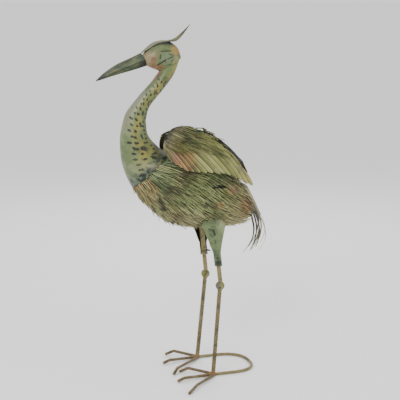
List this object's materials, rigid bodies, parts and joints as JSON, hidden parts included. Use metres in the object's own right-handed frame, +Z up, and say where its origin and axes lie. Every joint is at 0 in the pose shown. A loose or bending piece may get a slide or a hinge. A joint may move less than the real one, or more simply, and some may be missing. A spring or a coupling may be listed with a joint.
{
  "type": "garden crane figurine",
  "caption": "Standing crane of painted sheet metal with slit feather rows, two rod legs and a hoop behind the heels.",
  "frame": {"origin": "on the floor, under the middle of the bird's box", "axes": "-Y the way the bird looks, +X its left side, +Z up"},
  "size_m": [0.2872, 0.4298, 0.8676],
  "materials": {
    "neck_paint": "satin",
    "head_paint": "satin",
    "beak_paint": "satin",
    "crest_paint": "satin",
    "body_paint": "satin",
    "breast_feathers": "satin",
    "flank_feathers": "satin",
    "wing_paint": "satin",
    "covert_feathers": "satin",
    "tail_paint": "satin",
    "thigh_paint": "satin",
    "socket_paint": "satin",
    "screw_metal": "satin",
    "rod_paint": "satin",
    "twisted_rod_paint": "satin",
    "ball_paint": "satin"
  },
  "bodies": {
    "root": {"neck": "neck_paint", "head": "head_paint", "beak": "beak_paint", "crest": "crest_paint", "body": "body_paint", "breast_feathers_1": "breast_feathers", "breast_feathers_2": "breast_feathers", "tail": "tail_paint", "heel_hoop": "rod_paint", "flank_feathers_1": "flank_feathers", "flank_feathers_2": "flank_feathers", "flank_feathers_3": "flank_feathers", "flank_feathers_4": "flank_feathers", "flank_feathers_5": "flank_feathers", "flank_feathers_6": "flank_feathers", "wing_left": "wing_paint", "wing_left_coverts_1": "covert_feathers", "wing_left_coverts_2": "covert_feathers", "wing_left_coverts_3": "covert_feathers", "thigh_left": "thigh_paint", "socket_left": "socket_paint", "clamp_screw_left": "screw_metal", "upper_leg_left": "rod_paint", "shank_left": "twisted_rod_paint", "knee_ball_left": "ball_paint", "toe_left_inner": "twisted_rod_paint", "toe_left_middle": "twisted_rod_paint", "toe_left_outer": "twisted_rod_paint", "wing_right": "wing_paint", "wing_right_coverts_1": "covert_feathers", "wing_right_coverts_2": "covert_feathers", "wing_right_coverts_3": "covert_feathers", "thigh_right": "thigh_paint", "socket_right": "socket_paint", "clamp_screw_right": "screw_metal", "upper_leg_right": "rod_paint", "shank_right": "twisted_rod_paint", "knee_ball_right": "ball_paint", "toe_right_inner": "twisted_rod_paint", "toe_right_middle": "twisted_rod_paint", "toe_right_outer": "twisted_rod_paint"}
  },
  "joints": []
}
